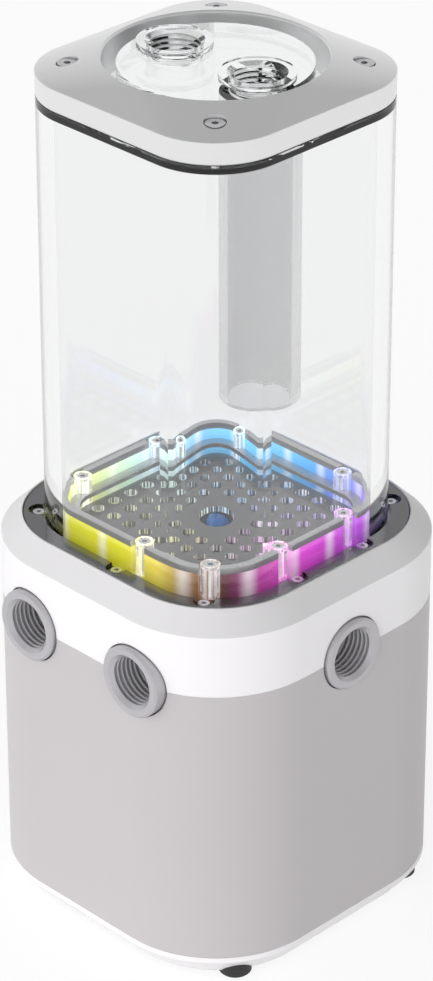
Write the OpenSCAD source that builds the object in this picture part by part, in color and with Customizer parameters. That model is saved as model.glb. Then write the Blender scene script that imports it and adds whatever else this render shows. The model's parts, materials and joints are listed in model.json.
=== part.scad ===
// Coolant pump reservoir: a square clear tube on a square pump housing.
// Origin: centre of the footprint, on the surface that the feet stand on. +Z up, -Y front left.

/* [Housing] */
// Outer side of the square housing
housing_side = 90; // [84:1:100]
// Corner radius of the housing
housing_r = 28.6; // [27:0.2:30]
// Wall of the lower shell
shell_wall = 2.5; // [2:0.1:3]
// Height of the lower shell
shell_h = 73.4; // [73:0.1:77]
// Height of the straight side of the collar band
band_h = 16; // [15:0.5:20]
// Width of the bevel on the collar band, seen from above
bevel_w = 5.2; // [4.8:0.1:5.6]
// Height of that bevel
bevel_h = 5; // [4:0.1:6]

/* [Base and feet] */
// How far the feet lift the base plate
foot_rise = 1.6; // [1.2:0.1:3]
// Diameter of a foot
foot_d = 8; // [7:0.1:10]
// Depth of the pocket that holds a foot
foot_pocket = 3; // [2.9:0.1:3.6]
// Distance of a foot inside the side of the housing along X
foot_in_x = 9.5; // [8.5:0.5:12]
// Distance of a foot inside the side of the housing along Y
foot_in_y = 16; // [15:0.5:18]
// Height of the chamfer round the base plate
base_chamfer_h = 4.5; // [3:0.1:5]
// Width of that chamfer
base_chamfer_w = 3.6; // [2:0.1:4]
// Height of the straight edge of the base plate
base_edge_h = 1.5; // [1:0.1:3]

/* [Cable outlet] */
// Diameter of the cable hole in the back wall
cable_hole_d = 8; // [6:0.1:10]
// Bore of the grommet
cable_d = 5; // [3:0.1:5.5]
// Height of the cable hole above the base plate
cable_up = 10; // [8:0.5:40]
// Thickness of the lips of the grommet
grommet_t = 1.2; // [1:0.1:2]

/* [Tube] */
// Wall of the tube
tube_wall = 4.5; // [3.5:0.1:5]
// Height of the tube above its foot flange
tube_h = 108.6; // [90:1:150]
// Thickness of the foot flange of the tube
flange_t = 2.4; // [2:0.1:3]

/* [Top] */
// Thickness of the clear top plate at its edge
top_plate_t = 2; // [1.6:0.1:4]
// Thickness of the cap gasket
cap_gasket_t = 0.3; // [0.2:0.1:0.8]
// Height of the side of the cap ring
cap_side_h = 5.3; // [5:0.1:8]
// Rise of the domed face from its edge to the opening
cap_dome_h = 3.6; // [2:0.1:5]
// Diameter of the cap opening
cap_open_d = 52.6; // [50:0.2:54]
// Chamfer at the cap opening
cap_rim_c = 0.4; // [0.2:0.1:0.8]
// Diameter of the round boss on the top plate
boss_d = 45.4; // [44.5:0.1:47]
// How far the top of the boss lies below the cap opening
boss_drop = 1.7; // [1:0.1:3]
// Distance of a cap screw inside the sides of the cap
cap_screw_in = 10.6; // [10:0.1:11]
// Head diameter of a cap screw
cap_head_d = 4.7; // [4.4:0.1:5]
// Head height of a cap screw
cap_head_h = 1.5; // [1.2:0.1:1.8]
// Shank diameter of a cap screw
cap_shank_d = 2.5; // [2:0.1:3]
// Depth of the flat seat of a cap screw below the cap opening
cap_seat = 3.6; // [3.4:0.1:4.4]

/* [Ports] */
// Outer diameter of a side port collar
port_d = 18; // [17:0.2:19]
// How far a side port collar stands out of the housing
port_out = 1.3; // [0.8:0.1:2]
// Distance of the two front ports from each other
port_pitch = 35.4; // [34:0.2:37]
// Length of a side port insert
port_len = 13.3; // [12:0.1:14]
// Outer diameter of a top port collar
top_port_d = 17.9; // [17:0.1:19]
// Distance of the two top ports from each other
top_port_pitch = 26.6; // [25:0.2:28]
// How far a top port collar ends below the cap opening
top_port_drop = 0.3; // [0:0.1:0.6]
// Major diameter of the pipe thread
thread_major = 13.157;
// Minor diameter of the pipe thread
thread_minor = 11.89;
// Pitch of the pipe thread
thread_pitch = 1.337;
// Number of thread turns in a port
thread_turns = 6; // [4:1:6]
// Mouth diameter of the countersink
mouth_d = 14; // [13.6:0.1:14.6]
// Radial gap round a port insert
port_gap = 0.3; // [0.2:0.05:0.5]
// Thickness of the seal behind a port insert
port_seal_t = 1.3; // [1:0.1:2]
// Diameter of the water channels in the block
channel_d = 9; // [7:0.1:10]

/* [Return tube] */
// Outer diameter of the return tube
return_d = 17.4; // [16:0.1:17.8]
// Bore of the return tube
return_bore = 12.9; // [11:0.1:13]
// Free length of the return tube
return_len = 70; // [20:1:90]

/* [Seat ring and screws] */
// Width of the seat ring
seat_w = 4.4; // [4.2:0.1:5]
// Thickness of the seat ring
seat_t = 1.4; // [1:0.1:1.8]
// Gap between the seat ring and the tube
seat_gap = 0.7; // [0.4:0.1:1.2]
// Radius of a half-round bite in the seat ring
bite_r = 2.5; // [2.3:0.1:2.7]
// Head diameter of a ring screw
ring_head_d = 2.8; // [2.4:0.1:3]
// Shank diameter of a ring screw
ring_shank_d = 1.6; // [1.2:0.1:1.8]
// Distance of the ring screws outside the face of the tube
ring_screw_out = 1.5; // [1.4:0.1:1.7]

/* [Flow plate] */
// Gap between the flow plate and the pillars round it
plate_gap = 0.2; // [0.1:0.05:0.6]
// Thickness of the flow plate
plate_t = 1.6; // [1.2:0.1:1.8]
// Pitch of the square pattern of holes
hole_pitch = 5.4; // [4.6:0.1:6]
// Diameter of a flow hole
hole_d = 3.4; // [2:0.1:3.8]
// Diameter of the hole in the middle of the plate
plate_eye_d = 10; // [8:0.5:12]
// Half side of the plain square round that hole
plate_plain = 8.2; // [7.5:0.1:10]

/* [Light fence] */
// Gap between the fence and the tube
fence_gap = 0.3; // [0.2:0.05:0.5]
// Thickness of the ledge under the plate
ledge_t = 2; // [1.6:0.1:2.6]
// Width of the ledge of the fence
ledge_w = 6.6; // [6:0.1:8]
// Height of the fence wall above the ledge
fence_h = 6.8; // [6:0.1:9]
// Thickness of the fence wall
fence_wall = 1.8; // [1.4:0.1:2]
// Diameter of a pillar of the fence
pillar_d = 4.4; // [4:0.1:4.4]
// Height of the rim bar on the fence wall
rim_t = 1.6; // [1:0.1:2.4]
// Height of the inner rail above the plate
rail_up = 1.9; // [1:0.1:2.4]
// Height of the inner rail
rail_t = 1.1; // [0.8:0.1:1.8]
// Width of the inner rail
rail_w = 2.6; // [2.4:0.1:2.8]

/* [Pump] */
// How far the motor can stands out round the pump chamber
can_out = 6.75; // [6:0.05:7]
// Wall of the motor can
can_wall = 1.5; // [1:0.1:2]
// Height of the motor can below its flange
can_h = 46; // [44:0.5:48]
// Distance of the clamp screws outside the pump seal
clamp_out = 4.8; // [4.6:0.1:5.2]
// Thickness of the can flange
can_flange_t = 4; // [3:0.1:5]
// Distance of the pump chamber inside the faces of the housing
chamber_in = 21; // [20:0.1:22]
// Height of the pump chamber
chamber_h = 16; // [15.8:0.1:17]
// Diameter of the inlet above the impeller
inlet_d = 15; // [12:0.5:16]
// Gap between the impeller and the wall of the pump chamber
impeller_gap = 4; // [2:0.1:5]
// Outer diameter of the rotor magnet
rotor_d = 37; // [36.4:0.1:38]
// Inner radius of the dome that parts wet and dry side
dome_r = 16.2; // [15.8:0.1:16.4]
// Wall of the dome
dome_wall = 0.8; // [0.5:0.1:1]
// Gap between rotor magnet and dome
dome_gap = 0.6; // [0.4:0.1:0.8]
// Diameter of the bearing ball
ball_d = 4; // [3.6:0.1:4.4]
// Running gap between ball and impeller socket
ball_gap = 0.05; // [0.02:0.01:0.08]
// Number of impeller vanes
vane_n = 7; // [5:1:9]
// Number of stator teeth
tooth_n = 6; // [4:1:8]

/* [Light strip] */
// Number of lamps along one side
lamp_n = 4; // [2:1:6]
// Side of a lamp
lamp_side = 1.6; // [1:0.1:1.8]

/* [Hidden] */
$fn = 96;
eps = 0.01;

// Heights of the main seams
z_base = foot_rise;
z_shell = z_base + base_chamfer_h + base_edge_h;
z_seam = z_shell + shell_h;
z_bevel = z_seam + band_h;
z_band_top = z_bevel + bevel_h;
z_seat_top = z_band_top - 0.4;
z_seat = z_seat_top - seat_t;
z_flange = z_seat - flange_t;
seal_t = 0.8;
z_block_top = z_flange - seal_t;
z_tube_top = z_seat + tube_h;
z_gasket = z_tube_top + top_plate_t;
z_cap = z_gasket + cap_gasket_t;
z_cap_edge = z_cap + cap_side_h;
z_top = z_cap_edge + cap_dome_h;
z_boss = z_top - boss_drop;
z_top_port = z_top - top_port_drop;
z_cap_seat = z_top - cap_seat;
z_plate = z_block_top + ledge_t;
z_rim = z_plate + fence_h;
z_pillar = z_rim + rim_t;
z_rail = z_plate + plate_t + rail_up;

// Plan sizes that follow from the housing and the tube
corner_c = housing_side/2 - housing_r;
band_top_side = housing_side - 2*bevel_w;
band_top_r = band_top_side/2 - corner_c;
fit_gap = 0.3;
block_side = band_top_side - 2*fit_gap;
block_r = band_top_r - fit_gap;
tube_side = block_side - 2*seat_w - 2*seat_gap;
tube_r = tube_side/2 - corner_c;
tube_in_side = tube_side - 2*tube_wall;
tube_in_r = tube_r - tube_wall;
fence_side = tube_in_side - 2*fence_gap;
fence_r = tube_in_r - fence_gap;
fence_c = fence_side/2 - fence_r;

// Pump sizes and levels, from the block down
chamber_d = housing_side - 2*chamber_in;
impeller_d = chamber_d - 2*impeller_gap;
seal_r = chamber_d/2 + 5;
can_d = chamber_d + 2*can_out;
clamp_d = 2.5;
clamp_at = seal_r + clamp_out;
can_flange_d = 2*clamp_at + 4.4;
clamp_angles = [45, 135, 225, 315];
z_chamber_top = z_seam + 5;
z_block = z_seam - 15;
z_cup = z_block + can_flange_t;
z_can = z_block - can_h;
cup_t = 0.8;
dome_out = dome_r + dome_wall;
z_dome = z_cup - 10;
z_ball = z_dome + dome_out + 2.2;
z_post = z_dome + dome_out - dome_wall/2;
post_pin_d = ball_d - 1;
z_rotor = z_cup + 0.6;
z_impeller = z_dome + dome_out + 3.6;
hub_hole_r = ball_d/2 + 1;
disc_t = 1.2;
vane_h = 3.2;
stator_h = 14;
z_stator = z_block - stator_h - 0.5;
stator_r = can_d/2 - can_wall - 0.1;
yoke_w = 5;
pole_r = 8;

// Screw positions
tie_reach = housing_r - 8.7;
tie_turn = 59.4;
tie_x = corner_c + tie_reach*cos(tie_turn);
tie_y = corner_c + tie_reach*sin(tie_turn);
tie_d = 3;
post_d = 7.2;
cap_screw_at = tube_side/2 - cap_screw_in;
ring_at = tube_side/2 + ring_screw_out;
ring_turn_r = tube_r + ring_screw_out;
// Ring screws: places along the sides, and one at an angle round each corner
ring_points = concat(
  [
    [3, -ring_at], [ring_at, -9], [ring_at, 13], [7, ring_at], [-15, ring_at],
    [-ring_at, 16], [-ring_at, -9]
  ],
  [
    for (corner = [[1, -1, 53], [1, 1, 60], [-1, 1, 45], [-1, -1, 45]])
      [corner.x*(corner_c + ring_turn_r*cos(corner.z)),
       corner.y*(corner_c + ring_turn_r*sin(corner.z))]
  ]);
foot_points = [
  for (sx = [-1, 1], sy = [-1, 1])
    [sx*(housing_side/2 - foot_in_x), sy*(housing_side/2 - foot_in_y)]
];
tie_points = [for (sx = [-1, 1], sy = [-1, 1]) [sx*tie_x, sy*tie_y]];
cap_points = [for (sx = [-1, 1], sy = [-1, 1]) [sx*cap_screw_at, sy*cap_screw_at]];
// Pillars of the fence: place and the direction that faces outwards
pillar_in = pillar_d/2 + 0.2;
pillar_at = fence_side/2 - pillar_in;
pillar_points = concat(
  [
    [6, -pillar_at, 270], [pillar_at, -9, 0], [pillar_at, 13, 0], [13.4, pillar_at, 90],
    [-16, pillar_at, 90], [-pillar_at, 9, 180], [-pillar_at, -16, 180]
  ],
  [
    let (turn = 309, reach = fence_r - pillar_in)
      [fence_c + reach*cos(turn), -fence_c + reach*sin(turn), turn]
  ]);
pillar_bore = 1.8;
plate_side = 2*(pillar_at - pillar_d/2 - plate_gap);
plate_r = plate_side/2 - fence_c;

// Square plate with round corners, exact arcs
module rounded(side, r, h) {
  a = side/2;
  c = a - r;
  translate([-a, -c, 0]) cube([2*a, 2*c, h]);
  translate([-c, -a, 0]) cube([2*c, 2*a, h]);
  for (sx = [-1, 1], sy = [-1, 1])
    translate([sx*c, sy*c, 0]) cylinder(r = r, h = h);
}

// Square frame: a rounded plate with a rounded hole
module rounded_ring(side, r, in_side, in_r, h) {
  difference() {
    rounded(side, r, h);
    translate([0, 0, -1]) rounded(in_side, in_r, h + 2);
  }
}

// Rounded plate whose side leans in from bottom to top by the same amount all round
module rounded_taper(c, a0, a1, h) {
  for (turn = [0, 90])
    rotate([0, 0, turn])
      translate([0, c, 0])
        rotate([90, 0, 0])
          linear_extrude(2*c)
            polygon([[-a0, 0], [a0, 0], [a1, h], [-a1, h]]);
  for (sx = [-1, 1], sy = [-1, 1])
    translate([sx*c, sy*c, 0]) cylinder(r1 = a0 - c, r2 = a1 - c, h = h);
}

// Bore with a countersunk mouth at z = 0 and thread grooves below it, going down
module thread_bore(depth) {
  rm = thread_minor/2;
  rj = thread_major/2;
  sink = mouth_d/2 - rm;
  start = sink + 0.3;
  grooves = [for (i = [0:thread_turns - 1])
    let (z = start + i*thread_pitch)
    each [[rm, -z], [rj, -z - 0.42], [rj, -z - 0.52], [rm, -z - 0.94]]];
  rotate_extrude()
    polygon(concat(
      [[0, 1], [mouth_d/2, 1], [mouth_d/2, 0], [rm, -sink]],
      grooves,
      [[rm, -depth], [0, -depth]]));
}

// Countersunk or flat-headed screw shank going down from z = 0, head above
module screw(head_d, head_h, shank_d, len, key_d) {
  difference() {
    union() {
      cylinder(d = head_d, h = head_h);
      translate([0, 0, -len]) cylinder(d = shank_d, h = len + eps);
    }
    translate([0, 0, head_h*0.4]) cylinder(d = key_d, h = head_h, $fn = 6);
  }
}

// Places a child whose +Z points out of a housing face: turn 0 is the front left face
module on_face(turn, along) {
  rotate([0, 0, turn])
    translate([along, -housing_side/2, z_seam])
      rotate([90, 0, 0]) children();
}

module port_insert() {
  inner = port_len - port_out;
  difference() {
    union() {
      translate([0, 0, -inner]) cylinder(d = port_d, h = port_len - 0.5);
      translate([0, 0, port_out - 0.5])
        cylinder(d1 = port_d, d2 = port_d - 1, h = 0.5);
    }
    translate([0, 0, port_out]) thread_bore(port_len + 1);
  }
}

// Children at the three side ports
module at_ports() {
  on_face(0, -port_pitch/2) children();
  on_face(0, port_pitch/2) children();
  on_face(90, 0) children();
}

port_seat = port_len - port_out + port_seal_t;

module port_holes(d) {
  at_ports() translate([0, 0, -port_seat]) cylinder(d = d, h = port_seat + 3);
}

module rubber_feet() {
  color("#202022")
    for (p = foot_points)
      translate([p.x, p.y, 0]) {
        cylinder(d1 = foot_d - 0.8, d2 = foot_d, h = 0.4);
        translate([0, 0, 0.4]) cylinder(d = foot_d, h = foot_rise + foot_pocket - 0.4);
      }
}

module base_plate() {
  a = housing_side/2;
  color("#f4f4f4")
    difference() {
      translate([0, 0, z_base]) {
        rounded_taper(corner_c, a - base_chamfer_w, a, base_chamfer_h);
        translate([0, 0, base_chamfer_h])
          rounded(housing_side, housing_r, base_edge_h);
      }
      for (p = foot_points)
        translate([p.x, p.y, z_base - 1]) cylinder(d = foot_d + 0.2, h = foot_pocket + 1);
      for (p = tie_points)
        translate([p.x, p.y, 0]) {
          cylinder(d = tie_d + 0.4, h = z_shell + 1);
          cylinder(d = 6.2, h = z_base + 2.4);
        }
      translate([0, 0, z_shell - 2]) cylinder(d = can_d - 4, h = 3);
      for (turn = [0:30:330])
        rotate([0, 0, turn])
          translate([14, -1.2, 0]) cube([10, 2.4, z_shell]);
    }
}

module tie_screws() {
  color("#3a3a3c")
    for (p = tie_points)
      translate([p.x, p.y, z_base + 2.4])
        rotate([180, 0, 0])
          screw(5.5, 1.8, tie_d, z_block + 5 - z_base - 2.4, 2.4);
}

module lower_shell() {
  a_in = housing_side - 2*shell_wall;
  color("#b8b6b9")
    difference() {
      union() {
        translate([0, 0, z_shell])
          rounded_ring(housing_side, housing_r, a_in, housing_r - shell_wall, shell_h);
        for (p = tie_points)
          translate([p.x, p.y, z_shell]) {
            cylinder(d = post_d, h = z_block - z_shell);
            // web from the post straight out to the round corner
            rotate([0, 0, atan2(p.y - sign(p.y)*corner_c, p.x - sign(p.x)*corner_c)])
              translate([0, -1.2, 0])
                cube([housing_r - shell_wall/2 - tie_reach, 2.4, z_block - z_shell - 2]);
          }
      }
      for (p = tie_points)
        translate([p.x, p.y, z_shell - 1]) cylinder(d = tie_d + 0.4, h = shell_h);
      port_holes(port_d + 2*port_gap);
      translate([0, housing_side/2, z_shell + cable_up])
        rotate([90, 0, 0]) cylinder(d = cable_hole_d, h = 12, center = true);
    }
}

module cable_grommet() {
  hole = cable_hole_d/2 - 0.1;
  lip = cable_hole_d/2 + 1;
  color("#202022")
    translate([0, housing_side/2, z_shell + cable_up])
      rotate([-90, 0, 0])
        rotate_extrude()
          polygon([
            [cable_d/2, -shell_wall - grommet_t], [lip, -shell_wall - grommet_t],
            [lip, -shell_wall], [hole, -shell_wall], [hole, 0], [lip, 0],
            [lip - 0.4, grommet_t], [cable_d/2, grommet_t]
          ]);
}

module collar_band() {
  color("#f1eff2")
    difference() {
      union() {
        translate([0, 0, z_seam]) rounded(housing_side, housing_r, band_h);
        translate([0, 0, z_bevel])
          rounded_taper(corner_c, housing_side/2, band_top_side/2, bevel_h);
      }
      translate([0, 0, z_seam - 1])
        rounded(band_top_side, band_top_r, band_h + bevel_h + 2);
      port_holes(port_d + 2*port_gap);
    }
}

// Water channel behind a port, reach measured from the housing face
module channel(turn, along, reach) {
  on_face(turn, along)
    translate([0, 0, -reach]) cylinder(d = channel_d, h = reach - port_seat + 1);
}

module pump_block() {
  strip_side = block_side - 5;
  color("#d9dadc")
    difference() {
      translate([0, 0, z_block]) rounded(block_side, block_r, z_block_top - z_block);
      // seat of the can flange and the pump chamber above it
      translate([0, 0, z_block - 1]) cylinder(d = can_flange_d + 0.6, h = can_flange_t + 1);
      translate([0, 0, z_cup - eps]) cylinder(d = chamber_d, h = chamber_h);
      // eye of the chamber
      translate([0, 0, z_cup]) cylinder(d = inlet_d, h = 60);
      translate([0, 0, z_block_top - 3]) cylinder(d1 = inlet_d, d2 = inlet_d + 6 + eps, h = 3 + eps);
      // groove of the pump seal
      translate([0, 0, z_cup - eps])
        rotate_extrude() translate([seal_r - 1, 0]) square([2, 1.4]);
      // seats of the port inserts and the channels behind them
      port_holes(port_d + 0.1);
      channel(0, port_pitch/2, 30);
      channel(90, 0, 30);
      channel(0, -port_pitch/2, 18 + channel_d/2);
      // the left port feeds the tube from below instead
      translate([-port_pitch/2, -housing_side/2 + 18, z_seam])
        cylinder(d = channel_d - 1, h = 30);
      // step that carries the light strip
      translate([0, 0, z_block_top - 3])
        rounded_ring(block_side + 2, block_r + 1, strip_side, strip_side/2 - corner_c, 4);
      for (p = tie_points)
        translate([p.x, p.y, z_block - 1]) cylinder(d = tie_d, h = 6.2);
      for (turn = clamp_angles)
        rotate([0, 0, turn])
          translate([clamp_at, 0, z_cup - 1]) cylinder(d = clamp_d, h = 7.2);
      ring_screw_holes(z_block_top - 4.2, 10, ring_shank_d);
      at_pillars() translate([0, 0, z_block_top - 3.5]) cylinder(d = 1.6, h = 5);
    }
}

module left_port() {
  color("#b3b0b5") on_face(0, -port_pitch/2) port_insert();
}

module front_port() {
  color("#b3b0b5") on_face(0, port_pitch/2) port_insert();
}

module right_port() {
  color("#b3b0b5") on_face(90, 0) port_insert();
}

module port_seals() {
  color("#202022")
    at_ports()
      translate([0, 0, -port_seat])
        difference() {
          cylinder(d = port_d - 0.6, h = port_seal_t);
          translate([0, 0, -1]) cylinder(d = port_d - 4.6, h = port_seal_t + 2);
        }
}

module ring_screw_holes(z, h, d) {
  for (p = ring_points)
    translate([p.x, p.y, z]) cylinder(d = d, h = h);
}

module seat_ring() {
  side = band_top_side - 2*fit_gap;
  in_side = tube_side + 2*seat_gap;
  color("#4a4b4e")
    translate([0, 0, z_seat])
      difference() {
        rounded_ring(side, band_top_r - fit_gap, in_side, tube_r + seat_gap, seat_t);
        ring_screw_holes(-1, seat_t + 2, 2*bite_r);
      }
}

module ring_screws() {
  color("#8a8b8e")
    for (p = ring_points)
      translate([p.x, p.y, z_seat]) screw(ring_head_d, 0.8, ring_shank_d, flange_t + 4, 1.2);
}

module reservoir_tube() {
  color("#e8eef0", 0.35)
    difference() {
      union() {
        translate([0, 0, z_flange]) rounded(tube_side, tube_r, z_tube_top - z_flange);
        translate([0, 0, z_flange]) rounded(block_side, block_r, flange_t);
      }
      translate([0, 0, z_flange - 1])
        rounded(tube_in_side, tube_in_r, z_tube_top - z_flange + 2);
      ring_screw_holes(z_flange - 1, flange_t + 1.001, ring_shank_d + 0.2);
    }
}

module tube_seal() {
  color("#1d1d1f")
    translate([0, 0, z_block_top])
      rounded_ring(tube_side - 1, tube_r - 0.5, tube_in_side + 1, tube_in_r + 0.5, seal_t);
}

module light_board() {
  out = block_side - 0.4;
  in = block_side - 4.8;
  color("#f0f0f0")
    translate([0, 0, z_block_top - 3])
      rounded_ring(out, out/2 - corner_c, in, in/2 - corner_c, 0.8);
}

module lamps() {
  at = block_side/2 - 1.4;
  pitch = 2*corner_c/lamp_n*1.25;
  color("#fff7d0")
    for (turn = [0, 90, 180, 270], i = [0:lamp_n - 1])
      rotate([0, 0, turn])
        translate([(i - (lamp_n - 1)/2)*pitch - lamp_side/2, -at - lamp_side/2, z_block_top - 2.2])
          cube([lamp_side, lamp_side, 1]);
}

// Children at every pillar, with +X facing outwards
module at_pillars() {
  for (p = pillar_points)
    translate([p.x, p.y, 0]) rotate([0, 0, p.z]) children();
}

// Level ring that follows the fence, from one distance inside its outer face to another
module fence_ring(from, to, z, h) {
  translate([0, 0, z])
    rounded_ring(fence_side - 2*from, fence_r - from, fence_side - 2*to, fence_r - to, h);
}

module light_fence() {
  step_in = fence_side/2 - plate_side/2 - 0.8;
  color("#e6f0f2", 0.5)
    difference() {
      union() {
        fence_ring(0, ledge_w, z_block_top, ledge_t);
        fence_ring(0, fence_wall, z_block_top, ledge_t + fence_h);
        // step beside each pillar that carries the inner rail
        at_pillars()
          translate([pillar_in - step_in, -pillar_d/2 - 1, z_block_top])
            cube([step_in - fence_wall/2, pillar_d + 2, z_rail - z_block_top]);
      }
      // open from the outside at each pillar
      at_pillars() {
        translate([0, 0, z_plate]) cylinder(d = pillar_d + 0.2, h = fence_h + 1);
        translate([0, -pillar_d/2 - 0.1, z_plate])
          cube([pillar_d, pillar_d + 0.2, fence_h + 1]);
        translate([0, 0, z_block_top - 1]) cylinder(d = pillar_bore, h = ledge_t + 2);
      }
    }
}

module fence_pillars() {
  color("#e6f0f2", 0.5)
    at_pillars()
      difference() {
        translate([0, 0, z_plate]) cylinder(d = pillar_d, h = z_pillar - z_plate);
        translate([0, 0, z_plate - 1]) cylinder(d = pillar_bore, h = z_pillar);
        translate([0, 0, z_pillar - 1]) cylinder(d = 3, h = 2);
      }
}

module rim_bar() {
  color("#77797c")
    difference() {
      fence_ring(0, fence_wall - 0.1, z_rim, rim_t);
      // open at each pillar, which rises through the bar
      at_pillars()
        translate([-pillar_d, -pillar_d/2 - 0.1, z_rim - 1])
          cube([2*pillar_d, pillar_d + 0.2, rim_t + 2]);
    }
}

module inner_rail() {
  out = fence_wall + 1;
  color("#6b6d70")
    difference() {
      fence_ring(out, out + rail_w, z_rail, rail_t);
      at_pillars() translate([0, 0, z_rail - 1]) cylinder(d = pillar_d + 0.2, h = rail_t + 2);
    }
}

module flow_plate() {
  n = floor((plate_side/2 - hole_d/2 - 0.8)/hole_pitch);
  c = plate_side/2 - plate_r;
  color("#8f8d90")
    difference() {
      translate([0, 0, z_plate]) rounded(plate_side, plate_r, plate_t);
      for (i = [-n:n], j = [-n:n]) {
        x = i*hole_pitch;
        y = j*hole_pitch;
        corner = norm([max(abs(x) - c, 0), max(abs(y) - c, 0)]);
        fits = corner < plate_r - hole_d/2 - 0.8;
        plain = max(abs(x), abs(y)) < plate_plain;
        if (fits && !plain)
          translate([x, y, z_plate - 1]) cylinder(d = hole_d, h = plate_t + 2, $fn = 24);
      }
      translate([0, 0, z_plate - 1]) cylinder(d = plate_eye_d, h = plate_t + 2);
    }
}

module fence_screws() {
  color("#9a9b9e")
    at_pillars()
      translate([0, 0, z_pillar - 1]) screw(2.8, 0.9, 1.6, z_pillar - z_block_top + 2, 1.3);
}

module top_plate() {
  at = top_port_pitch/2;
  color("#eaf2f4", 0.35)
    difference() {
      union() {
        translate([0, 0, z_tube_top]) rounded(tube_side, tube_r, top_plate_t);
        translate([0, 0, z_tube_top]) cylinder(d = boss_d, h = z_boss - z_tube_top);
        for (s = [-1, 1])
          translate([s*at, 0, z_tube_top]) cylinder(d = top_port_d, h = z_top_port - z_tube_top);
      }
      for (s = [-1, 1])
        translate([s*at, 0, z_top_port]) thread_bore(z_top_port - z_tube_top + 1);
      for (p = cap_points)
        translate([p.x, p.y, z_tube_top - 1]) cylinder(d = cap_shank_d, h = top_plate_t + 2);
    }
}

module cap_gasket() {
  color("#1d1d1f")
    translate([0, 0, z_gasket])
      difference() {
        rounded(tube_side - 0.6, tube_r - 0.3, cap_gasket_t);
        translate([0, 0, -1]) cylinder(d = cap_open_d, h = cap_gasket_t + 2);
        for (p = cap_points)
          translate([p.x, p.y, -1]) cylinder(d = cap_shank_d + 0.6, h = cap_gasket_t + 2);
      }
}

module cap_dome() {
  hull() {
    for (sx = [-1, 1], sy = [-1, 1])
      translate([sx*corner_c, sy*corner_c, z_cap_edge - eps]) cylinder(r = tube_r, h = eps);
    translate([0, 0, z_top - eps]) cylinder(d = cap_open_d, h = eps);
  }
}

module cap_ring() {
  color("#efefef")
    difference() {
      union() {
        translate([0, 0, z_cap]) rounded(tube_side, tube_r, cap_side_h);
        cap_dome();
      }
      translate([0, 0, z_cap - 1]) cylinder(d = cap_open_d - 2*cap_rim_c, h = z_top - z_cap + 2);
      translate([0, 0, z_top - cap_rim_c])
        cylinder(d1 = cap_open_d - 2*cap_rim_c, d2 = cap_open_d + eps, h = cap_rim_c + eps);
      for (p = cap_points)
        translate([p.x, p.y, 0]) {
          translate([0, 0, z_cap - 1]) cylinder(d = cap_shank_d + 0.6, h = 20);
          translate([0, 0, z_cap_seat]) cylinder(d = cap_head_d + 0.5, h = 10);
        }
    }
}

module cap_screws() {
  color("#c4c5c8")
    for (p = cap_points)
      translate([p.x, p.y, z_cap_seat])
        screw(cap_head_d, cap_head_h, cap_shank_d, z_cap_seat - z_tube_top - 0.3, 1.75);
}

module return_tube() {
  color("#dfe4e6", 0.4)
    translate([top_port_pitch/2, 0, z_tube_top - return_len])
      difference() {
        cylinder(d = return_d, h = return_len);
        translate([0, 0, -1]) cylinder(d = return_bore, h = return_len + 2);
      }
}

module pump_can() {
  color("#2b2b2e")
    difference() {
      union() {
        translate([0, 0, z_can]) cylinder(d = can_d, h = can_h + eps);
        translate([0, 0, z_block]) cylinder(d = can_flange_d, h = can_flange_t - cup_t);
      }
      translate([0, 0, z_can - 1]) cylinder(d = can_d - 2*can_wall, h = can_h + 1);
      translate([0, 0, z_block - 1]) cylinder(r = dome_out + 2, h = can_flange_t + 2);
      for (turn = clamp_angles)
        rotate([0, 0, turn])
          translate([clamp_at, 0, z_block - 1]) cylinder(d = clamp_d + 0.4, h = can_flange_t + 2);
    }
}

module can_cover() {
  color("#39393c")
    difference() {
      union() {
        translate([0, 0, z_can - 2]) cylinder(d = can_d, h = 2);
        translate([0, 0, z_can]) cylinder(d = can_d - 2*can_wall - 0.2, h = 3);
      }
      translate([0, 0, z_can + eps]) cylinder(d = can_d - 2*can_wall - 4, h = 4);
      rotate([0, 0, 90]) translate([can_d/2 - 12, 0, z_can - 3]) cylinder(d = 5, h = 4);
    }
}

module stator_core() {
  pole_h = z_dome + sqrt(dome_r*dome_r - pole_r*pole_r) - 0.6 - z_stator;
  color("#9a9fa5")
    translate([0, 0, z_stator]) {
      difference() {
        cylinder(r = stator_r, h = stator_h);
        translate([0, 0, -1]) cylinder(r = stator_r - yoke_w, h = stator_h + 2);
      }
      difference() {
        union() {
          cylinder(r = pole_r, h = pole_h);
          for (i = [0:tooth_n - 1])
            rotate([0, 0, i*360/tooth_n])
              translate([0, -3, 3]) cube([stator_r - 1, 6, 8]);
        }
        translate([0, 0, -1]) cylinder(r = 3, h = pole_h + 2);
      }
    }
}

module stator_windings() {
  long = stator_r - yoke_w - pole_r - 4;
  color("#b86b32")
    for (i = [0:tooth_n - 1])
      rotate([0, 0, i*360/tooth_n])
        translate([pole_r + 2.5, 0, z_stator])
          difference() {
            translate([0, -4.6, 1.4]) cube([long, 9.2, 11.2]);
            translate([-1, -3.1, 2.9]) cube([long + 2, 6.2, 8.2]);
          }
}

module driver_board() {
  z = z_can + 3;
  color("#1f6b45")
    translate([0, 0, z]) {
      cylinder(d = can_d - 2*can_wall - 0.6, h = 1.6);
      translate([-8, -6, 1.6]) cube([10, 10, 2]);
      translate([8, -10, 1.6]) cylinder(d = 8, h = 9);
      translate([8, 10, 1.6]) cylinder(d = 8, h = 9);
      translate([-20, -4, 1.6]) cube([6, 8, 6]);
      for (turn = [0, 120, 240])
        rotate([0, 0, turn])
          translate([stator_r - yoke_w/2, 0, 1.6]) cylinder(d = 3, h = z_stator - z - 1.6);
    }
}

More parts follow.
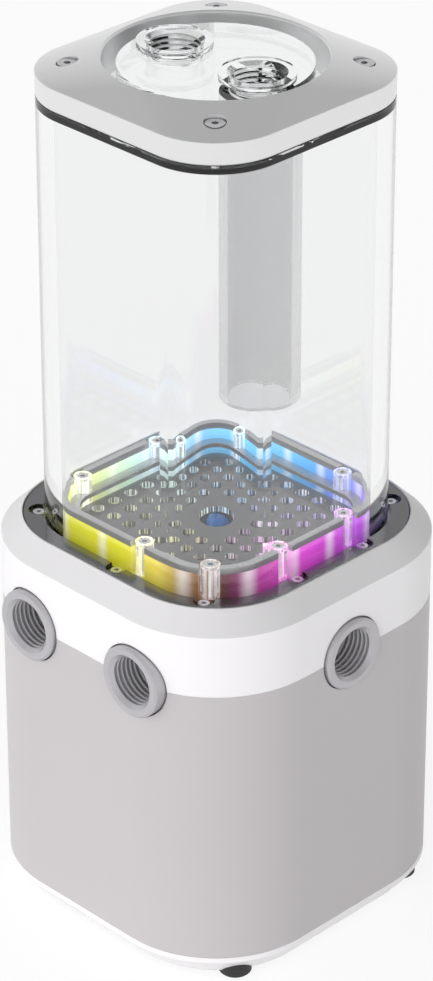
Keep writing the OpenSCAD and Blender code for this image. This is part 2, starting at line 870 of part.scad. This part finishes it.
module separating_cup() {
  color("#c9ccd0")
    difference() {
      union() {
        translate([0, 0, z_cup - cup_t]) cylinder(d = 2*seal_r + 5, h = cup_t);
        intersection() {
          translate([0, 0, z_dome]) sphere(r = dome_out);
          translate([0, 0, z_cup - cup_t]) cylinder(r = 20, h = 30);
        }
      }
      translate([0, 0, z_dome]) sphere(r = dome_r);
      translate([0, 0, z_post]) cylinder(d = post_pin_d, h = 5);
    }
}

module bearing_post() {
  color("#d7d9dc")
    difference() {
      translate([0, 0, z_post]) cylinder(d = post_pin_d, h = z_ball - 1 - z_post);
      translate([0, 0, z_ball]) sphere(d = ball_d);
    }
}

module bearing_ball() {
  color("#f5f3ea") translate([0, 0, z_ball]) sphere(d = ball_d);
}

// Curved vane between two offset discs
module vane() {
  linear_extrude(vane_h)
    intersection() {
      difference() {
        translate([0, -11]) circle(r = 14.2);
        translate([0, -11]) circle(r = 13);
      }
      difference() {
        circle(r = impeller_d/2 - 0.5);
        circle(r = inlet_d/2 - 1);
      }
      translate([0, -30]) square([40, 60]);
    }
}

module impeller() {
  hub_r = ball_d/2 + 2;
  color("#3f7fc4")
    difference() {
      union() {
        translate([0, 0, z_impeller]) cylinder(d = impeller_d, h = disc_t);
        translate([0, 0, z_impeller]) cylinder(r = hub_r, h = disc_t + vane_h - 0.6);
        translate([0, 0, z_ball]) cylinder(r = hub_hole_r - 0.1, h = z_impeller - z_ball + eps);
        for (i = [0:vane_n - 1])
          translate([0, 0, z_impeller + disc_t - eps]) rotate([0, 0, i*360/vane_n]) vane();
      }
      translate([0, 0, z_ball]) sphere(r = ball_d/2 + ball_gap);
    }
}

module rotor_magnet() {
  color("#55585c")
    difference() {
      translate([0, 0, z_rotor]) cylinder(d = rotor_d, h = z_impeller - z_rotor);
      translate([0, 0, z_dome]) sphere(r = dome_out + dome_gap);
      translate([0, 0, z_rotor - 1]) cylinder(r = hub_hole_r, h = z_impeller - z_rotor + 2);
    }
}

module pump_seal() {
  color("#1d1d1f")
    translate([0, 0, z_cup])
      rotate_extrude() translate([seal_r - 0.9, 0]) square([1.8, 1.3]);
}

module clamp_ring() {
  color("#77797d")
    translate([0, 0, z_block - 3])
      difference() {
        cylinder(d = can_flange_d + 3.4, h = 3);
        translate([0, 0, -1]) cylinder(d = can_d + 0.4, h = 5);
        for (turn = clamp_angles)
          rotate([0, 0, turn])
            translate([clamp_at, 0, -1]) cylinder(d = clamp_d + 0.4, h = 5);
      }
}

module clamp_screws() {
  color("#3a3a3c")
    for (turn = clamp_angles)
      rotate([0, 0, turn])
        translate([clamp_at, 0, z_block - 3])
          rotate([180, 0, 0]) screw(4.5, 2.4, clamp_d, can_flange_t + 3 + 5.8, 2);
}

rubber_feet();
base_plate();
tie_screws();
lower_shell();
cable_grommet();
collar_band();
pump_block();
left_port();
front_port();
right_port();
port_seals();
seat_ring();
ring_screws();
reservoir_tube();
tube_seal();
light_board();
lamps();
light_fence();
fence_pillars();
rim_bar();
inner_rail();
flow_plate();
fence_screws();
top_plate();
cap_gasket();
cap_ring();
cap_screws();
return_tube();
pump_can();
can_cover();
stator_core();
stator_windings();
driver_board();
separating_cup();
bearing_post();
bearing_ball();
impeller();
rotor_magnet();
pump_seal();
clamp_ring();
clamp_screws();
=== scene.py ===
import bpy, json, math
from mathutils import Euler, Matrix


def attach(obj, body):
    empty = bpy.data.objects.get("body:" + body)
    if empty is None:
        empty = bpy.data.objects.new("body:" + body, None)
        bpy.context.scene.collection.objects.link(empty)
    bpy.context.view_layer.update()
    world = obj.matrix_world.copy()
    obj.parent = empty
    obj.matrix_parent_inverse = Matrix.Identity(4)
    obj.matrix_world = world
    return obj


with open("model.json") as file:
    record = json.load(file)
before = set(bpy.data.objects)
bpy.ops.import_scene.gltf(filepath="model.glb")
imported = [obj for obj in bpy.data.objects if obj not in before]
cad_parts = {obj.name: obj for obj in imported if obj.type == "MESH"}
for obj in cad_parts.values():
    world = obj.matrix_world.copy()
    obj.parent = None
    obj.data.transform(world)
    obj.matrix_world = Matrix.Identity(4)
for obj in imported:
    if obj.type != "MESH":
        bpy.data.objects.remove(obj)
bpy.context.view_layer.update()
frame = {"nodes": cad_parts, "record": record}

scene = bpy.context.scene
scene.view_settings.view_transform = "Standard"


# ---------- small helpers for node trees ----------

def node(tree, kind, at=(0, 0), **values):
    n = tree.nodes.new(kind)
    n.location = at
    for key, value in values.items():
        setattr(n, key, value)
    return n


def wire(tree, source, target):
    tree.links.new(source, target)


def math_node(tree, operation, a, b=None, clamp=False):
    n = node(tree, "ShaderNodeMath", operation=operation, use_clamp=clamp)
    for socket, value in zip(n.inputs, (a, b)):
        if value is None:
            continue
        if isinstance(value, (int, float)):
            socket.default_value = value
        else:
            wire(tree, value, socket)
    return n.outputs[0]


def map_range(tree, value, low, high, to_low=0.0, to_high=1.0, smooth=True):
    n = node(tree, "ShaderNodeMapRange")
    n.interpolation_type = "SMOOTHSTEP" if smooth else "LINEAR"
    wire(tree, value, n.inputs["Value"])
    for label, number in zip(("From Min", "From Max", "To Min", "To Max"),
                             (low, high, to_low, to_high)):
        n.inputs[label].default_value = number
    return n.outputs["Result"]


def mix_colour(tree, factor, a, b, blend="MIX"):
    n = node(tree, "ShaderNodeMix", data_type="RGBA", blend_type=blend)
    for socket, value in ((n.inputs[0], factor), (n.inputs[6], a), (n.inputs[7], b)):
        if isinstance(value, (int, float)):
            socket.default_value = value
        elif isinstance(value, tuple):
            socket.default_value = value if len(value) == 4 else (*value, 1)
        else:
            wire(tree, value, socket)
    return n.outputs[2]


def ramp(tree, value, stops, interpolation="LINEAR"):
    n = node(tree, "ShaderNodeValToRGB")
    n.color_ramp.interpolation = interpolation
    points = n.color_ramp.elements
    while len(points) < len(stops):
        points.new(0.5)
    for point, (place, colour) in zip(points, stops):
        point.position = place
        point.color = (*colour, 1)
    wire(tree, value, n.inputs[0])
    return n.outputs["Color"]


def new_group(name, inputs, outputs):
    tree = bpy.data.node_groups.new(name, "ShaderNodeTree")
    for label, kind, value in inputs:
        socket = tree.interface.new_socket(label, in_out="INPUT", socket_type=kind)
        if value is not None:
            socket.default_value = value
    for label, kind in outputs:
        tree.interface.new_socket(label, in_out="OUTPUT", socket_type=kind)
    return tree, node(tree, "NodeGroupInput"), node(tree, "NodeGroupOutput")


def use_group(tree, group, **values):
    n = node(tree, "ShaderNodeGroup")
    n.node_tree = group
    for label, value in values.items():
        socket = n.inputs[label.replace("_", " ")]
        if hasattr(value, "is_linked"):
            wire(tree, value, socket)
        else:
            socket.default_value = value
    return n


# ---------- effects that several finishes share ----------

def make_surface_grain():
    """Fine grain, slow variation of tone and small bumps of a moulded or lacquered face."""
    tree, get, put = new_group(
        "surface grain",
        [("Vector", "NodeSocketVector", None), ("Colour", "NodeSocketColor", (0.8, 0.8, 0.8, 1)),
         ("Grain size", "NodeSocketFloat", 0.0004), ("Tone", "NodeSocketFloat", 0.03),
         ("Roughness", "NodeSocketFloat", 0.4), ("Roughness spread", "NodeSocketFloat", 0.06)],
        [("Colour", "NodeSocketColor"), ("Roughness", "NodeSocketFloat"),
         ("Height", "NodeSocketFloat")])
    scale = math_node(tree, "DIVIDE", 1.0, get.outputs["Grain size"])
    fine = node(tree, "ShaderNodeTexNoise")
    fine.inputs["Detail"].default_value = 3
    wire(tree, get.outputs["Vector"], fine.inputs["Vector"])
    wire(tree, scale, fine.inputs["Scale"])
    slow = node(tree, "ShaderNodeTexNoise")
    slow.inputs["Scale"].default_value = 38
    slow.inputs["Detail"].default_value = 2
    wire(tree, get.outputs["Vector"], slow.inputs["Vector"])
    both = math_node(tree, "ADD", math_node(tree, "MULTIPLY", fine.outputs["Fac"], 0.4),
                     math_node(tree, "MULTIPLY", slow.outputs["Fac"], 0.6))
    centred = math_node(tree, "SUBTRACT", both, 0.5)
    shade = math_node(tree, "ADD", math_node(tree, "MULTIPLY", centred,
                                             get.outputs["Tone"]), 1.0)
    grey = node(tree, "ShaderNodeCombineColor")
    for label in ("Red", "Green", "Blue"):
        wire(tree, shade, grey.inputs[label])
    wire(tree, mix_colour(tree, 1.0, get.outputs["Colour"], grey.outputs[0], "MULTIPLY"),
         put.inputs["Colour"])
    spread = math_node(tree, "MULTIPLY", centred, get.outputs["Roughness spread"])
    wire(tree, math_node(tree, "ADD", get.outputs["Roughness"], spread, clamp=True),
         put.inputs["Roughness"])
    wire(tree, fine.outputs["Fac"], put.inputs["Height"])
    return tree


def make_brushed():
    """Straight brushing: noise drawn out along one direction."""
    tree, get, put = new_group(
        "brushed metal",
        [("Vector", "NodeSocketVector", None), ("Stretch", "NodeSocketVector", (400, 400, 4000)),
         ("Roughness", "NodeSocketFloat", 0.3), ("Roughness spread", "NodeSocketFloat", 0.2)],
        [("Roughness", "NodeSocketFloat"), ("Height", "NodeSocketFloat")])
    stretched = node(tree, "ShaderNodeVectorMath", operation="MULTIPLY")
    wire(tree, get.outputs["Vector"], stretched.inputs[0])
    wire(tree, get.outputs["Stretch"], stretched.inputs[1])
    noise = node(tree, "ShaderNodeTexNoise")
    noise.inputs["Scale"].default_value = 1
    noise.inputs["Detail"].default_value = 4
    wire(tree, stretched.outputs[0], noise.inputs["Vector"])
    centred = math_node(tree, "SUBTRACT", noise.outputs["Fac"], 0.5)
    spread = math_node(tree, "MULTIPLY", centred, get.outputs["Roughness spread"])
    wire(tree, math_node(tree, "ADD", get.outputs["Roughness"], spread, clamp=True),
         put.inputs["Roughness"])
    wire(tree, noise.outputs["Fac"], put.inputs["Height"])
    return tree


def make_glow():
    """Colour of the light strip by the side it faces, brighter where a lamp stands."""
    tree, get, put = new_group(
        "light strip glow",
        [("Vector", "NodeSocketVector", None), ("Bottom", "NodeSocketFloat", 0.097),
         ("Top", "NodeSocketFloat", 0.106), ("Fade", "NodeSocketFloat", 0.35)],
        [("Colour", "NodeSocketColor")])
    parts = node(tree, "ShaderNodeSeparateXYZ")
    wire(tree, get.outputs["Vector"], parts.inputs[0])
    angle = math_node(tree, "ARCTAN2", parts.outputs["Y"], parts.outputs["X"])
    turn = map_range(tree, angle, -math.pi, math.pi, smooth=False)
    colour = ramp(tree, turn, [
        (0.00, (0.62, 0.92, 0.72)), (0.07, (0.75, 0.82, 0.30)), (0.14, (0.62, 0.62, 0.03)),
        (0.25, (0.72, 0.70, 0.02)), (0.315, (0.80, 0.66, 0.10)), (0.345, (0.30, 0.16, 0.06)),
        (0.385, (0.10, 0.03, 0.04)), (0.42, (0.45, 0.05, 0.32)), (0.46, (0.75, 0.08, 0.62)),
        (0.52, (0.62, 0.06, 0.62)), (0.60, (0.45, 0.10, 0.75)), (0.66, (0.16, 0.16, 0.80)),
        (0.74, (0.05, 0.38, 0.85)), (0.82, (0.16, 0.58, 0.95)), (0.90, (0.20, 0.55, 0.90)),
        (0.96, (0.55, 0.85, 0.95)), (1.00, (0.62, 0.92, 0.72))])
    lamp = math_node(tree, "PINGPONG", math_node(tree, "MULTIPLY", turn, 16.0), 0.5)
    spot = map_range(tree, lamp, 0.30, 0.5)
    rise = map_range(tree, parts.outputs["Z"], 0.0, 1.0, smooth=False)
    rise_node = rise.node
    for label, source in (("From Min", "Bottom"), ("From Max", "Top")):
        wire(tree, get.outputs[source], rise_node.inputs[label])
    level = math_node(tree, "ADD", get.outputs["Fade"],
                      math_node(tree, "MULTIPLY", rise,
                                math_node(tree, "SUBTRACT", 1.0, get.outputs["Fade"])))
    white = mix_colour(tree, math_node(tree, "MULTIPLY", spot, 0.45), colour, (1, 1, 1))
    wire(tree, mix_colour(tree, 1.0, white, level, "MULTIPLY"), put.inputs["Colour"])
    return tree


GRAIN = make_surface_grain()
BRUSHED = make_brushed()
GLOW = make_glow()


# ---------- finishes ----------

def new_material(name):
    m = bpy.data.materials.new(name)
    m.use_nodes = True
    tree = m.node_tree
    tree.nodes.clear()
    out = node(tree, "ShaderNodeOutputMaterial", (600, 0))
    skin = node(tree, "ShaderNodeBsdfPrincipled", (300, 0))
    wire(tree, skin.outputs[0], out.inputs["Surface"])
    place = node(tree, "ShaderNodeTexCoord", (-700, 0)).outputs["Object"]
    return m, tree, skin, out, place


def bump(tree, skin, height, distance, strength=1.0, soft_edge=0.0):
    n = node(tree, "ShaderNodeBump", (50, -300))
    n.inputs["Strength"].default_value = strength
    n.inputs["Distance"].default_value = distance
    wire(tree, height, n.inputs["Height"])
    if soft_edge:
        edge = node(tree, "ShaderNodeBevel", (-150, -400), samples=4)
        edge.inputs["Radius"].default_value = soft_edge
        wire(tree, edge.outputs[0], n.inputs["Normal"])
    wire(tree, n.outputs[0], skin.inputs["Normal"])


def plain_finish(name, colour, roughness, metallic=0.0, grain=0.0004, tone=0.05, spread=0.08,
                 depth=0.000004, coat=0.0, specular=0.5, soft_edge=0.0):
    """A solid finish: its own colour with grain, tone and roughness variation."""
    m, tree, skin, out, place = new_material(name)
    g = use_group(tree, GRAIN, Vector=place, Colour=(*colour, 1), Grain_size=grain, Tone=tone,
                  Roughness=roughness, Roughness_spread=spread)
    wire(tree, g.outputs["Colour"], skin.inputs["Base Color"])
    wire(tree, g.outputs["Roughness"], skin.inputs["Roughness"])
    skin.inputs["Metallic"].default_value = metallic
    skin.inputs["Specular IOR Level"].default_value = specular
    skin.inputs["Coat Weight"].default_value = coat
    skin.inputs["Coat Roughness"].default_value = 0.12
    bump(tree, skin, g.outputs["Height"], depth, soft_edge=soft_edge)
    return m


def housing_white():
    """White lacquer, with painted shade that makes the faces sloping upwards greyer."""
    m = plain_finish("housing white", (0.90, 0.885, 0.90), 0.42, grain=0.00025, tone=0.03,
                     coat=0.2, soft_edge=0.0004)
    tree = m.node_tree
    skin = next(n for n in tree.nodes if n.type == "BSDF_PRINCIPLED")
    colour = skin.inputs["Base Color"].links[0].from_socket
    slope = node(tree, "ShaderNodeSeparateXYZ")
    wire(tree, node(tree, "ShaderNodeTexCoord").outputs["Normal"], slope.inputs[0])
    # painted shade: faces that slope upwards are mixed towards black, as if less light fell on
    # them
    painted_top_shade = map_range(tree, slope.outputs["Z"], 0.3, 0.55, 0.0, 0.17)
    wire(tree, mix_colour(tree, painted_top_shade, colour, (0.0, 0.0, 0.0)), skin.inputs["Base Color"])
    return m


def housing_grey():
    return plain_finish("housing grey", (0.54, 0.517, 0.531), 0.45, grain=0.00025, tone=0.035,
                        coat=0.15, soft_edge=0.0004)


def cap_metal():
    return plain_finish("cap lacquer", (0.80, 0.80, 0.805), 0.32, metallic=0.85, grain=0.0002,
                        tone=0.03, soft_edge=0.0004)


def port_metal():
    m, tree, skin, out, place = new_material("port collar")
    g = use_group(tree, GRAIN, Vector=place, Colour=(0.50, 0.49, 0.51, 1), Grain_size=0.0003,
                  Tone=0.06, Roughness=0.36, Roughness_spread=0.08)
    wire(tree, g.outputs["Colour"], skin.inputs["Base Color"])
    wire(tree, g.outputs["Roughness"], skin.inputs["Roughness"])
    skin.inputs["Metallic"].default_value = 0.5
    bump(tree, skin, g.outputs["Height"], 0.000005, soft_edge=0.00025)
    return m


def dark_chrome():
    return plain_finish("dark chrome", (0.20, 0.20, 0.21), 0.16, metallic=1.0, grain=0.0003,
                        tone=0.05, spread=0.05, depth=0.000002, soft_edge=0.0002)


def fence_metal():
    m, tree, skin, out, place = new_material("fence strip")
    g = use_group(tree, BRUSHED, Vector=place, Stretch=(300, 300, 9000), Roughness=0.3,
                  Roughness_spread=0.2)
    skin.inputs["Base Color"].default_value = (0.50, 0.50, 0.51, 1)
    wire(tree, g.outputs["Roughness"], skin.inputs["Roughness"])
    skin.inputs["Metallic"].default_value = 0.9
    bump(tree, skin, g.outputs["Height"], 0.000004, soft_edge=0.00015)
    return m


def steel(name, colour, roughness):
    m, tree, skin, out, place = new_material(name)
    b = use_group(tree, BRUSHED, Vector=place, Stretch=(2500, 2500, 400), Roughness=roughness,
                  Roughness_spread=0.18)
    g = use_group(tree, GRAIN, Vector=place, Colour=(*colour, 1), Grain_size=0.0003, Tone=0.08)
    wire(tree, g.outputs["Colour"], skin.inputs["Base Color"])
    wire(tree, b.outputs["Roughness"], skin.inputs["Roughness"])
    skin.inputs["Metallic"].default_value = 1
    bump(tree, skin, b.outputs["Height"], 0.000003, soft_edge=0.00012)
    return m


def clear_acrylic(name, tint, roughness, depth):
    """Clear acrylic: refracts for what looks through it, lets the room's light pass freely;
    painted shade turns its colour grey towards grazing edges.
    """
    m, tree, skin, out, place = new_material(name)
    g = use_group(tree, GRAIN, Vector=place, Colour=(*tint, 1), Grain_size=0.004, Tone=0.01,
                  Roughness=roughness, Roughness_spread=0.01)
    facing = node(tree, "ShaderNodeLayerWeight").outputs["Facing"]
    # painted shade: the colour is mixed towards grey where the face is seen at a grazing angle
    edge = map_range(tree, facing, 0.62, 1.0)
    wire(tree, mix_colour(tree, math_node(tree, "MULTIPLY", edge, 0.3), g.outputs["Colour"],
                          (0.45, 0.45, 0.45)), skin.inputs["Base Color"])
    wire(tree, g.outputs["Roughness"], skin.inputs["Roughness"])
    skin.inputs["Transmission Weight"].default_value = 1
    skin.inputs["IOR"].default_value = 1.49
    bump(tree, skin, g.outputs["Height"], depth)
    path = node(tree, "ShaderNodeLightPath")
    free = node(tree, "ShaderNodeBsdfTransparent")
    free.inputs["Color"].default_value = (0.96, 0.97, 0.97, 1)
    blend = node(tree, "ShaderNodeMixShader")
    passing = math_node(tree, "MAXIMUM", path.outputs["Is Shadow Ray"],
                        path.outputs["Is Diffuse Ray"])
    wire(tree, passing, blend.inputs[0])
    wire(tree, skin.outputs[0], blend.inputs[1])
    wire(tree, free.outputs[0], blend.inputs[2])
    wire(tree, blend.outputs[0], out.inputs["Surface"])
    return m


def clear_tube():
    return clear_acrylic("clear tube", (0.95, 0.953, 0.955), 0.0, 0.0000004)


def clear_top():
    return clear_acrylic("clear top", (0.97, 0.98, 0.98), 0.02, 0.000001)


def grey_return():
    """The return tube is tinted, so that it stands out grey inside the clear tube."""
    return clear_acrylic("grey return tube", (0.745, 0.745, 0.75), 0.04, 0.000001)


def clear_frame():
    """The lit fence: acrylic that carries the light of the strip under it."""
    m, tree, skin, out, place = new_material("lit fence")
    g = use_group(tree, GLOW, Vector=place)
    wire(tree, mix_colour(tree, 0.8, g.outputs["Colour"], (0.02, 0.02, 0.02)),
         skin.inputs["Base Color"])
    skin.inputs["Roughness"].default_value = 0.12
    wire(tree, g.outputs["Colour"], skin.inputs["Emission Color"])
    skin.inputs["Emission Strength"].default_value = 1.25
    skin.inputs["Coat Weight"].default_value = 0.3
    s = use_group(tree, GRAIN, Vector=place, Grain_size=0.0006)
    bump(tree, skin, s.outputs["Height"], 0.00001)
    return m


def clear_with_painted_highlights(name, strength):
    """Clear acrylic with painted highlights: glowing streaks, tinted with the strip's colours,
    that stand for the pillar's bright vertical highlights.
    """
    m, tree, skin, out, place = new_material(name)
    g = use_group(tree, GLOW, Vector=place, Bottom=0.098, Top=0.1075, Fade=0.5)
    streaks = use_group(tree, BRUSHED, Vector=place, Stretch=(1500, 1500, 30))
    pale = mix_colour(tree, 0.5, g.outputs["Colour"], (1, 1, 1))
    # painted highlight: streaks of emission drawn up the clear part
    painted_highlight_level = map_range(tree, streaks.outputs["Height"], 0.42, 0.62, 0.15, 1.0)
    wire(tree, mix_colour(tree, 1.0, pale, painted_highlight_level, "MULTIPLY"), skin.inputs["Emission Color"])
    skin.inputs["Emission Strength"].default_value = strength
    skin.inputs["Base Color"].default_value = (0.9, 0.9, 0.9, 1)
    skin.inputs["Transmission Weight"].default_value = 1
    skin.inputs["IOR"].default_value = 1.49
    skin.inputs["Roughness"].default_value = 0.04
    s = use_group(tree, GRAIN, Vector=place, Grain_size=0.0006)
    bump(tree, skin, s.outputs["Height"], 0.000004)
    return m


def pillar_with_painted_highlights():
    return clear_with_painted_highlights("pillar with painted highlights", 0.55)


def smoke_plate():
    """Glossy grey plate; the walls of its holes carry painted glints, emission stripes tinted
    with the strip's colours.
    """
    m, tree, skin, out, place = new_material("grey plate")
    g = use_group(tree, GRAIN, Vector=place, Colour=(0.17, 0.17, 0.175, 1), Grain_size=0.0005,
                  Tone=0.06, Roughness=0.14, Roughness_spread=0.05)
    upright = node(tree, "ShaderNodeSeparateXYZ")
    wire(tree, place.node.outputs["Normal"], upright.inputs[0])
    flat = math_node(tree, "ABSOLUTE", upright.outputs["Z"])
    wall = map_range(tree, flat, 0.6, 0.2)
    stripes = use_group(tree, BRUSHED, Vector=place, Stretch=(2600, 2600, 60))
    # painted glint: bright emission stripes on the walls of the holes
    painted_glint = map_range(tree, stripes.outputs["Height"], 0.46, 0.62)
    tinge = use_group(tree, GLOW, Vector=place, Fade=1.0)
    painted_glint_colour = mix_colour(tree, 0.45, (0.85, 0.86, 0.87), tinge.outputs["Colour"])
    painted_glint_mask = math_node(tree, "MULTIPLY", wall, painted_glint)
    wire(tree, mix_colour(tree, 1.0, painted_glint_colour, painted_glint_mask, "MULTIPLY"), skin.inputs["Emission Color"])
    skin.inputs["Emission Strength"].default_value = 1
    wire(tree, g.outputs["Colour"], skin.inputs["Base Color"])
    wire(tree, g.outputs["Roughness"], skin.inputs["Roughness"])
    skin.inputs["Coat Weight"].default_value = 0.5
    bump(tree, skin, g.outputs["Height"], 0.000002)
    return m


def gasket_grey():
    return plain_finish("grey gasket", (0.20, 0.20, 0.205), 0.5, grain=0.0005, depth=0.00001)


def lamp():
    m, tree, skin, out, place = new_material("lamp")
    g = use_group(tree, GLOW, Vector=place)
    wire(tree, g.outputs["Colour"], skin.inputs["Emission Color"])
    skin.inputs["Emission Strength"].default_value = 6
    skin.inputs["Base Color"].default_value = (0.9, 0.86, 0.6, 1)
    return m


FINISH = {
    "housing_white": housing_white, "housing_grey": housing_grey, "cap_metal": cap_metal,
    "port_metal": port_metal, "dark_chrome": dark_chrome, "fence_metal": fence_metal,
    "clear_tube": clear_tube, "clear_top": clear_top, "clear_frame": clear_frame,
    "smoke_plate": smoke_plate, "lamp": lamp,
    "screw_steel": lambda: steel("screw steel", (0.62, 0.62, 0.64), 0.28),
    "screw_dark": lambda: steel("black screw", (0.06, 0.06, 0.065), 0.4),
    "stator_steel": lambda: steel("stator steel", (0.36, 0.37, 0.39), 0.45),
    "cup_steel": lambda: steel("drawn steel", (0.60, 0.61, 0.63), 0.25),
    "rubber_black": lambda: plain_finish("rubber", (0.022, 0.022, 0.024), 0.62, grain=0.0005,
                                         depth=0.00001),
    "block_grey": lambda: plain_finish("acetal block", (0.70, 0.70, 0.71), 0.38),
    "board_white": lambda: plain_finish("white board", (0.85, 0.85, 0.84), 0.4),
    "can_black": lambda: plain_finish("black moulding", (0.03, 0.03, 0.033), 0.5),
    "copper_wire": lambda: plain_finish("copper wire", (0.72, 0.32, 0.16), 0.3, metallic=1),
    "board_green": lambda: plain_finish("green board", (0.02, 0.16, 0.08), 0.35, coat=0.4),
    "ceramic": lambda: plain_finish("ceramic", (0.90, 0.88, 0.82), 0.12, depth=0.000001),
    "impeller_blue": lambda: plain_finish("blue moulding", (0.05, 0.20, 0.58), 0.3),
    "magnet_grey": lambda: plain_finish("ferrite", (0.09, 0.10, 0.11), 0.5),
    "clamp_metal": lambda: plain_finish("clamp casting", (0.18, 0.19, 0.20), 0.42, metallic=0.8),
}


# Nodes that look different from the rest of their slot
OWN_FINISH = {"return_tube": grey_return, "fence_pillars": pillar_with_painted_highlights, "cap_gasket": gasket_grey}


def dress_nodes():
    made = {}
    for part in frame["record"]["subparts"]:
        slot = part["material_slot"]
        finish = OWN_FINISH.get(part["node"], FINISH[slot])
        if finish not in made:
            made[finish] = finish()
        obj = frame["nodes"][part["node"]]
        for place in obj.material_slots:
            place.material = made[finish]


# ---------- details that the solids leave out ----------

def solid(name, points, faces):
    mesh = bpy.data.meshes.new(name)
    mesh.from_pydata(points, [], faces)
    for face in mesh.polygons:
        face.use_smooth = True
    obj = bpy.data.objects.new(name, mesh)
    scene.collection.objects.link(obj)
    return obj


def ring_faces(total, count):
    """Faces between rings of count points each; the last ring meets the first."""
    faces = []
    for i in range(total):
        here, there = i*count, (i + 1) % total*count
        for j in range(count):
            k = (j + 1) % count
            faces.append((here + j, here + k, there + k, there + j))
    return faces


def impeller_nose():
    """Blue nose of the impeller with three swept fins, seen through the hole in the plate."""
    foot, around, fins, sweep, bulge = 0.0842, 48, 3, 60, 0.3
    profile = [(0.0002, foot), (0.0046, foot), (0.0040, 0.0900), (0.0034, 0.0960),
               (0.0030, 0.0990), (0.0018, 0.1004), (0.0002, 0.1008)]
    points = []
    for r, z in profile:
        for j in range(around):
            t = 2*math.pi*j/around
            fin = max(0.0, math.cos(fins*(t - sweep*(z - foot))))**6
            out = r*(1 + bulge*fin)
            points.append((out*math.cos(t), out*math.sin(t), z))
    obj = solid("impeller_nose", points, ring_faces(len(profile), around))
    obj.data.materials.append(frame["nodes"]["impeller"].material_slots[0].material)
    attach(obj, "rotor")


# ---------- studio ----------

CAMERA_AT = (0.57329, -0.56732, 0.5608)
CAMERA_DOWN, CAMERA_TURN = 26.756, 45.10     # degrees below level, and round the upright axis
CAMERA_LENS, CAMERA_SHIFT = 141.65, (-0.0119, -0.1803)


def camera():
    data = bpy.data.cameras.new("camera")
    data.lens = CAMERA_LENS
    data.sensor_width = 36
    data.sensor_fit = "AUTO"
    data.shift_x, data.shift_y = CAMERA_SHIFT
    data.clip_end = 20
    obj = bpy.data.objects.new("camera", data)
    scene.collection.objects.link(obj)
    obj.location = CAMERA_AT
    obj.rotation_euler = Euler((math.radians(90 - CAMERA_DOWN), 0, math.radians(CAMERA_TURN)))
    scene.camera = obj


ROOM_LEVEL, ROOM_LEAST = 2.25, 0.15          # light from level directions, and the least light
ROOM_TILT = (0.02, -1.28, -2.30)             # more light from -Y, less from above


def studio_light():
    """Soft room: white to the eye and in level reflections, brighter from the left."""
    w = bpy.data.worlds.new("studio")
    w.use_nodes = True
    tree = w.node_tree
    tree.nodes.clear()
    out = node(tree, "ShaderNodeOutputWorld")
    room = node(tree, "ShaderNodeBackground")
    seen = node(tree, "ShaderNodeBackground")
    mirrored = node(tree, "ShaderNodeBackground")
    look = node(tree, "ShaderNodeTexCoord").outputs["Generated"]
    side = node(tree, "ShaderNodeVectorMath", operation="DOT_PRODUCT")
    wire(tree, look, side.inputs[0])
    side.inputs[1].default_value = ROOM_TILT
    level = math_node(tree, "ADD", side.outputs["Value"], ROOM_LEVEL)
    level = math_node(tree, "MAXIMUM", level, ROOM_LEAST)
    wire(tree, level, room.inputs["Strength"])
    parts = node(tree, "ShaderNodeSeparateXYZ")
    wire(tree, look, parts.inputs[0])
    sky = ramp(tree, parts.outputs["Z"], [
        (0.0, (1, 1, 1)), (0.30, (0.88, 0.88, 0.88)), (0.55, (0.6, 0.6, 0.6)),
        (0.85, (0.40, 0.40, 0.40)), (1.0, (0.36, 0.36, 0.36))])
    wire(tree, sky, mirrored.inputs["Color"])
    path = node(tree, "ShaderNodeLightPath")
    plain = math_node(tree, "MAXIMUM", path.outputs["Is Camera Ray"],
                      path.outputs["Is Transmission Ray"])
    first = node(tree, "ShaderNodeMixShader")
    wire(tree, path.outputs["Is Glossy Ray"], first.inputs[0])
    wire(tree, room.outputs[0], first.inputs[1])
    wire(tree, mirrored.outputs[0], first.inputs[2])
    last = node(tree, "ShaderNodeMixShader")
    wire(tree, plain, last.inputs[0])
    wire(tree, first.outputs[0], last.inputs[1])
    wire(tree, seen.outputs[0], last.inputs[2])
    seen.inputs["Color"].default_value = (1, 1, 1, 1)
    wire(tree, last.outputs[0], out.inputs["Surface"])
    scene.world = w


FLOOR_HALF = 6.0
FLOOR_GLOW, FLOOR_GLOW_SHARE = 1.08, 0.78    # the rest of the floor's look takes the shadow


def floor():
    """Pale floor that looks white and keeps the shadow of the object."""
    mesh = bpy.data.meshes.new("floor")
    a = FLOOR_HALF
    mesh.from_pydata([(-a, -a, 0), (a, -a, 0), (a, a, 0), (-a, a, 0)], [], [(0, 1, 2, 3)])
    obj = bpy.data.objects.new("floor", mesh)
    scene.collection.objects.link(obj)
    m = bpy.data.materials.new("pale floor")
    m.use_nodes = True
    tree = m.node_tree
    tree.nodes.clear()
    out = node(tree, "ShaderNodeOutputMaterial")
    matt = node(tree, "ShaderNodeBsdfDiffuse")
    matt.inputs["Color"].default_value = (0.86, 0.86, 0.86, 1)
    white = node(tree, "ShaderNodeEmission")
    white.inputs["Strength"].default_value = FLOOR_GLOW
    path = node(tree, "ShaderNodeLightPath")
    seen = math_node(tree, "MAXIMUM", path.outputs["Is Camera Ray"],
                     math_node(tree, "MAXIMUM", path.outputs["Is Glossy Ray"],
                               path.outputs["Is Transmission Ray"]))
    blend = node(tree, "ShaderNodeMixShader")
    wire(tree, math_node(tree, "MULTIPLY", seen, FLOOR_GLOW_SHARE), blend.inputs[0])
    wire(tree, matt.outputs[0], blend.inputs[1])
    wire(tree, white.outputs[0], blend.inputs[2])
    wire(tree, blend.outputs[0], out.inputs["Surface"])
    mesh.materials.append(m)


camera()
studio_light()
floor()
dress_nodes()
impeller_nose()
